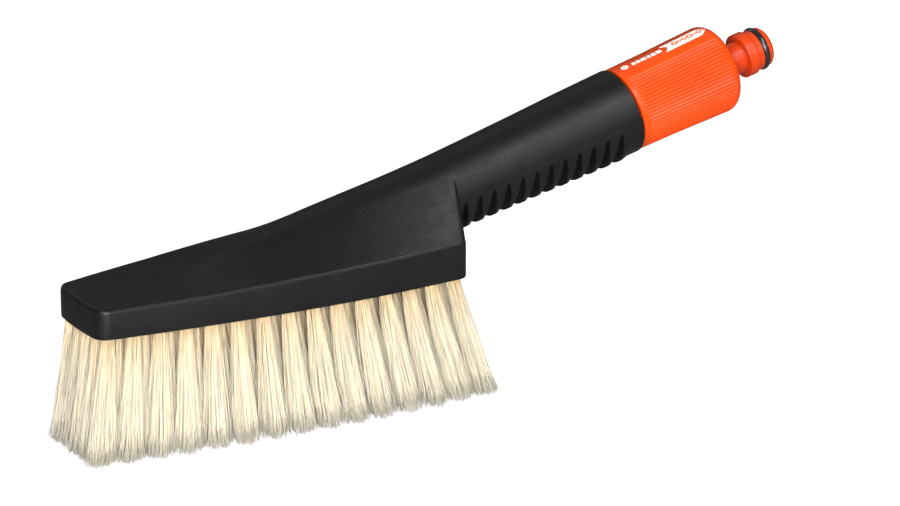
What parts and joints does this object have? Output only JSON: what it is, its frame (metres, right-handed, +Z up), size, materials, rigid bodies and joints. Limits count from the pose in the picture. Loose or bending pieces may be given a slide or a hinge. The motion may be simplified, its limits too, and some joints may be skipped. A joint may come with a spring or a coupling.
{
  "type": "wash brush",
  "caption": "Water-fed hand wash brush with a black hollow head and handle, cream bristle tufts, and an orange flow-control sleeve with a quick-connect hose nipple.",
  "frame": {"origin": "middle of the overall length and width, on the plane that the bristle tips stand on", "axes": "+X from the head's nose to the hose end, +Z up from the bristle tips to the handle; y = 0 is the plane of symmetry"},
  "size_m": [0.2978, 0.066, 0.1156],
  "materials": {
    "black_plastic": "satin moulded polypropylene",
    "grip_plastic": "satin moulded, slightly softer",
    "plate_plastic": "plain moulded",
    "natural_plastic": "unfilled acetal",
    "orange_plastic": "semi-gloss moulded",
    "bristle": "fine split polymer bristle",
    "seal_rubber": "smooth, greased",
    "strainer_steel": "pressed",
    "shampoo_soap": "pressed solid shampoo"
  },
  "bodies": {
    "handle": {"body_shell": "black_plastic", "grip_shell": "grip_plastic", "bristle_plate": "plate_plastic", "plate_seal": "seal_rubber", "stick_chamber": "natural_plastic", "chamber_strainer": "strainer_steel", "tuft_row_01": "bristle", "tuft_row_02": "bristle", "tuft_row_03": "bristle", "tuft_row_04": "bristle", "tuft_row_05": "bristle", "tuft_row_06": "bristle", "tuft_row_07": "bristle", "tuft_row_08": "bristle", "tuft_row_09": "bristle", "tuft_row_10": "bristle", "tuft_row_11": "bristle", "tuft_row_12": "bristle", "tuft_row_13": "bristle", "tuft_row_14": "bristle", "tuft_row_15": "bristle"},
    "connector": {"hose_connector": "orange_plastic", "spigot_o_ring": "seal_rubber", "nipple_o_ring": "seal_rubber", "sleeve_retaining_ring": "natural_plastic"},
    "sleeve": {"control_sleeve": "orange_plastic"},
    "piston": {"valve_piston": "natural_plastic", "piston_seal": "seal_rubber"},
    "stick": {"shampoo_stick": "shampoo_soap"}
  },
  "joints": [
    {"name": "connector_pull_off", "type": "slide", "parent": "handle", "child": "connector", "axis": [0.9741, 0, 0.2261], "range_m": [0, 0.07]},
    {"name": "sleeve_turn", "type": "hinge", "parent": "connector", "child": "sleeve", "pos_m": [0.10846, 0, 0.09538], "axis": [0.9741, 0, 0.2261], "range_deg": [0, 180]},
    {"name": "valve_travel", "type": "slide", "parent": "connector", "child": "piston", "axis": [-0.9741, 0, -0.2261], "range_m": [0, 0.005]},
    {"name": "stick_slide", "type": "slide", "parent": "handle", "child": "stick", "axis": [0.9741, 0, 0.2261], "range_m": [0, 0.02]}
  ],
  "couplings": [
    {"joint": "valve_travel", "follows": "sleeve_turn", "m_per_rad": 0.0015}
  ]
}
